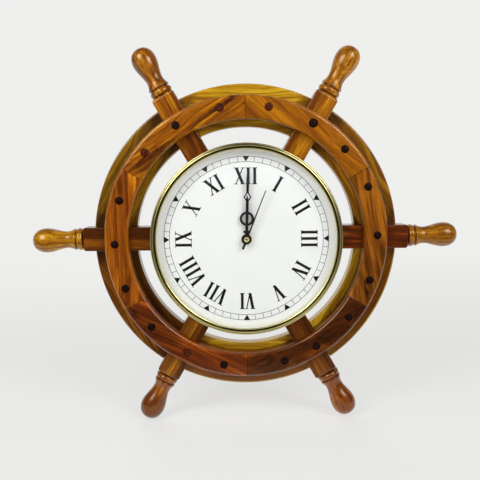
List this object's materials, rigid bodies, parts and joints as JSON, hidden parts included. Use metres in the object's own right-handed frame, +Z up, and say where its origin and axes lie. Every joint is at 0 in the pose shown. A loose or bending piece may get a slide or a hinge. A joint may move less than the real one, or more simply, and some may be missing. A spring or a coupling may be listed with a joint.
{
  "type": "ship wheel wall clock",
  "caption": "Wooden ship's wheel with turned handles and a round brass clock at its hub, hung on a wall by a toothed strip; the hands turn together through a wheel train.",
  "frame": {"origin": "middle of the hanger strip's back face, on the wall", "axes": "+X to the right as seen from the front, +Y into the wall, +Z up; the dial faces -Y and 12 is up"},
  "size_m": [0.4572, 0.048, 0.3996],
  "materials": {
    "golden_wood": "glossy lacquer",
    "orange_wood": "glossy lacquer",
    "red_wood": "glossy lacquer",
    "peg_wood": "dark lacquered end grain",
    "brass": "polished",
    "clear_glass": "polished",
    "enamel": "smooth white paint with black print",
    "black_metal": "satin black",
    "steel": "satin",
    "black_plastic": "fine grained",
    "white_plastic": "smooth",
    "cell_jacket": "glossy sleeve",
    "circuit_board": "smooth resin"
  },
  "bodies": {
    "wheel": {"rear_rim": "golden_wood", "hub": "golden_wood", "front_felloe_1": "orange_wood", "spoke_1": "red_wood", "handle_1": "golden_wood", "front_felloe_2": "orange_wood", "spoke_2": "red_wood", "handle_2": "golden_wood", "front_felloe_3": "orange_wood", "spoke_3": "red_wood", "handle_3": "golden_wood", "front_felloe_4": "orange_wood", "spoke_4": "red_wood", "handle_4": "golden_wood", "front_felloe_5": "orange_wood", "spoke_5": "red_wood", "handle_5": "golden_wood", "front_felloe_6": "orange_wood", "spoke_6": "red_wood", "handle_6": "golden_wood", "peg_01": "peg_wood", "peg_02": "peg_wood", "peg_03": "peg_wood", "peg_04": "peg_wood", "peg_05": "peg_wood", "peg_06": "peg_wood", "peg_07": "peg_wood", "peg_08": "peg_wood", "peg_09": "peg_wood", "peg_10": "peg_wood", "peg_11": "peg_wood", "peg_12": "peg_wood", "peg_13": "peg_wood", "peg_14": "peg_wood", "peg_15": "peg_wood", "peg_16": "peg_wood", "peg_17": "peg_wood", "peg_18": "peg_wood", "hanger_strip": "brass", "case_pan": "brass", "bezel": "brass", "glass": "clear_glass", "dial": "enamel", "movement_case": "black_plastic", "movement_cover": "black_plastic", "fixing_nut": "brass", "cell": "cell_jacket", "stator": "steel", "coil_board": "circuit_board"},
    "second_train": {"second_hand": "black_metal", "second_wheel": "white_plastic"},
    "minute_train": {"minute_hand": "black_metal", "centre_wheel": "white_plastic"},
    "hour_train": {"hour_hand": "black_metal", "hour_wheel": "white_plastic"},
    "setting_train": {"minute_wheel": "white_plastic", "setting_knob": "black_plastic"},
    "third_train": {"third_wheel": "white_plastic"},
    "fifth_train": {"fifth_wheel": "white_plastic"},
    "rotor_train": {"rotor": "steel"}
  },
  "joints": [
    {"name": "second_turn", "type": "hinge", "parent": "wheel", "child": "second_train", "pos_m": [0, -0.028, -0.142], "axis": [0, 1, 0], "continuous": true},
    {"name": "minute_turn", "type": "hinge", "parent": "wheel", "child": "minute_train", "pos_m": [0, -0.028, -0.142], "axis": [0, 1, 0], "continuous": true},
    {"name": "hour_turn", "type": "hinge", "parent": "wheel", "child": "hour_train", "pos_m": [0, -0.028, -0.142], "axis": [0, 1, 0], "continuous": true},
    {"name": "setting_turn", "type": "hinge", "parent": "wheel", "child": "setting_train", "pos_m": [0.00987, -0.028, -0.1363], "axis": [0, 1, 0], "continuous": true},
    {"name": "third_turn", "type": "hinge", "parent": "wheel", "child": "third_train", "pos_m": [-0.00953, -0.028, -0.1365], "axis": [0, 1, 0], "continuous": true},
    {"name": "fifth_turn", "type": "hinge", "parent": "wheel", "child": "fifth_train", "pos_m": [0, -0.028, -0.133], "axis": [0, 1, 0], "continuous": true},
    {"name": "rotor_turn", "type": "hinge", "parent": "wheel", "child": "rotor_train", "pos_m": [0.0042, -0.028, -0.12573], "axis": [0, 1, 0], "continuous": true}
  ],
  "couplings": [
    {"joint": "fifth_turn", "follows": "second_turn", "ratio": -5},
    {"joint": "rotor_turn", "follows": "second_turn", "ratio": 30},
    {"joint": "third_turn", "follows": "second_turn", "ratio": -0.13333},
    {"joint": "minute_turn", "follows": "second_turn", "ratio": 0.016667},
    {"joint": "setting_turn", "follows": "second_turn", "ratio": -0.0055556},
    {"joint": "hour_turn", "follows": "second_turn", "ratio": 0.0013889}
  ]
}
